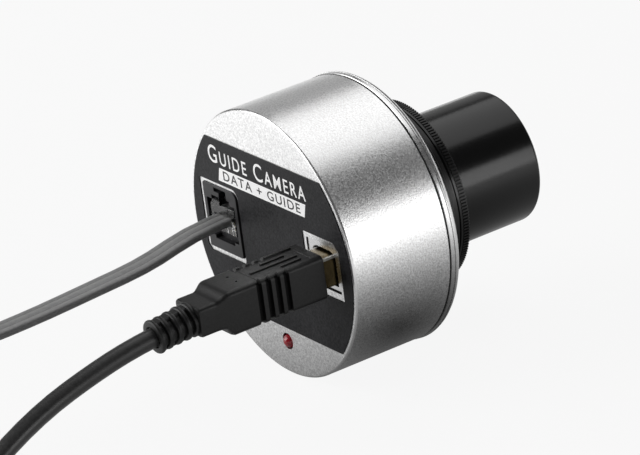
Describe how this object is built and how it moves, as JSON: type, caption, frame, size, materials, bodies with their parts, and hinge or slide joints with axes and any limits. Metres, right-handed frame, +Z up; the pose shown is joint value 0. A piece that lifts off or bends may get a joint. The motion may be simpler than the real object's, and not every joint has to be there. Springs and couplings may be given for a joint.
{
  "type": "guide camera",
  "caption": "Small telescope guide camera: silver cylindrical housing, black push-in nosepiece, rear data and guide sockets with their cords plugged in and coiled.",
  "frame": {"origin": "centre of the bounding box at floor level, under the camera's length; the optical axis is 32.3 mm above it", "axes": "+Y along the optical axis towards the nosepiece, +Z up, +X to the right seen from behind the camera"},
  "size_m": [0.0952, 0.25, 0.0646],
  "materials": {
    "satin_silver": "satin, bead-blasted",
    "black_rubber": "matt",
    "screw_steel": "satin",
    "label_print": "satin printed film",
    "black_anodised": "satin black anodised",
    "clear_glass": "polished, coated",
    "board_green": "solder mask",
    "chip_black": "moulded",
    "bright_metal": "bright plated",
    "warm_nickel": "satin, brownish nickel",
    "capacitor_tan": "ceramic",
    "sensor_ceramic": "ceramic",
    "white_plastic": "moulded",
    "gold_contact": "gold plated",
    "jack_plastic": "moulded",
    "lamp_red": "clear red",
    "cord_black": "satin moulded",
    "clear_plastic": "clear",
    "cord_grey": "satin"
  },
  "bodies": {
    "camera_body": {"rear_housing": "satin_silver", "front_cover": "satin_silver", "cover_seal": "black_rubber", "cover_screws": "screw_steel", "board_screws": "screw_steel", "sensor_screws": "screw_steel", "rear_label": "label_print", "adapter_ring": "black_anodised", "window_retainer": "black_anodised", "window_glass": "clear_glass", "sensor_glass": "clear_glass", "main_board": "board_green", "sensor_board": "board_green", "controller_chip": "chip_black", "memory_chip": "chip_black", "guide_relays": "chip_black", "board_receptacle": "chip_black", "board_header": "chip_black", "clock_crystal": "bright_metal", "sensor_standoffs": "bright_metal", "led_leads": "bright_metal", "usb_socket_shell": "bright_metal", "capacitors": "capacitor_tan", "image_sensor": "sensor_ceramic", "usb_socket_tongue": "white_plastic", "usb_socket_contacts": "gold_contact", "guide_socket_contacts": "gold_contact", "guide_socket_body": "jack_plastic", "status_led": "lamp_red"},
    "spacer": {"spacer_ring": "black_anodised"},
    "nosepiece": {"nosepiece": "black_anodised"},
    "usb_plug": {"host_plug_shell": "bright_metal", "usb_plug_shell": "warm_nickel", "usb_plug_insert": "white_plastic", "host_plug_insert": "white_plastic", "usb_plug_overmould": "cord_black", "usb_strain_relief": "cord_black", "usb_cable": "cord_black", "usb_cable_coil": "cord_black", "usb_cable_tail": "cord_black", "host_plug_overmould": "cord_black"},
    "guide_plug": {"guide_plug_body": "clear_plastic", "guide_plug_contacts": "gold_contact", "guide_cable": "cord_grey", "guide_cable_coil": "cord_grey", "guide_cable_tail": "cord_grey", "mount_plug_body": "clear_plastic", "mount_plug_contacts": "gold_contact"},
    "guide_latch": {"guide_plug_latch": "clear_plastic"},
    "mount_latch": {"mount_plug_latch": "clear_plastic"}
  },
  "joints": [
    {"name": "nosepiece_advance", "type": "slide", "parent": "camera_body", "child": "spacer", "axis": [0, 1, 0], "range_m": [0, 0.003]},
    {"name": "nosepiece_turn", "type": "hinge", "parent": "spacer", "child": "nosepiece", "pos_m": [0, 0, 0.0323], "axis": [0, 1, 0], "range_deg": [0, 1440]},
    {"name": "usb_plug_pull", "type": "slide", "parent": "camera_body", "child": "usb_plug", "axis": [0, -1, 0], "range_m": [-0.003, 0.0085]},
    {"name": "guide_plug_pull", "type": "slide", "parent": "camera_body", "child": "guide_plug", "axis": [0, -1, 0], "range_m": [0, 0.012]},
    {"name": "guide_latch_press", "type": "hinge", "parent": "guide_plug", "child": "guide_latch", "pos_m": [-0.0193, -0.0206, 0.0367], "axis": [1, 0, 0], "range_deg": [0, 4], "stiffness_Nm_per_rad": 0.4},
    {"name": "mount_latch_press", "type": "hinge", "parent": "guide_plug", "child": "mount_latch", "pos_m": [-0.005, -0.1563, 0.0321], "axis": [0, 1, 0], "range_deg": [0, 4], "stiffness_Nm_per_rad": 0.4}
  ],
  "couplings": [
    {"joint": "nosepiece_advance", "follows": "nosepiece_turn", "m_per_rad": 0.00011937}
  ]
}
